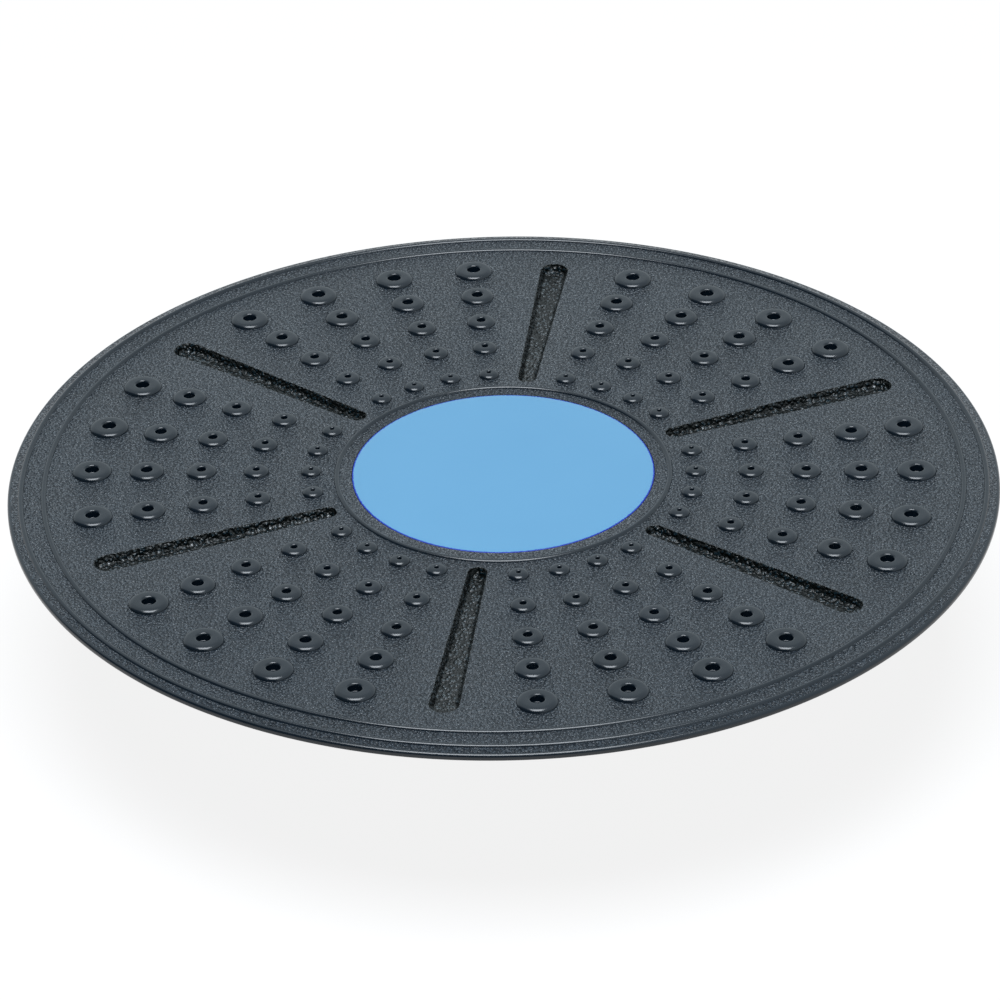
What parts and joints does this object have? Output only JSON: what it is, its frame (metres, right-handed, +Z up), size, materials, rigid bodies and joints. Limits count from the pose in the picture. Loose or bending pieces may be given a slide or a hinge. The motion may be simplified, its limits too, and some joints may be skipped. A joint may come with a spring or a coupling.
{
  "type": "balance disc",
  "caption": "Round moulded balance board with rings of raised dimples, tapered grooves and a flush centre label, on a ball-shaped foot with a non-slip pad.",
  "frame": {"origin": "floor, under the middle of the foot pad", "axes": "+Z up, along the disc's axis; +X through the middle of a sector of dimples, +Y along a groove"},
  "size_m": [0.36, 0.36, 0.08],
  "materials": {
    "deck_plastic": "charcoal, fine pebbled leather grain with smooth dimples and beads",
    "label_print": "light blue satin film, no print",
    "foot_plastic": "charcoal satin moulding",
    "pad_rubber": "matt soft rubber",
    "screw_steel": "zinc plated"
  },
  "bodies": {
    "root": {"deck": "deck_plastic", "label_disc": "label_print", "foot_dome": "foot_plastic", "foot_pad": "pad_rubber", "foot_screw_1": "screw_steel", "foot_screw_2": "screw_steel", "foot_screw_3": "screw_steel", "foot_screw_4": "screw_steel", "foot_screw_5": "screw_steel", "foot_screw_6": "screw_steel"}
  },
  "joints": []
}
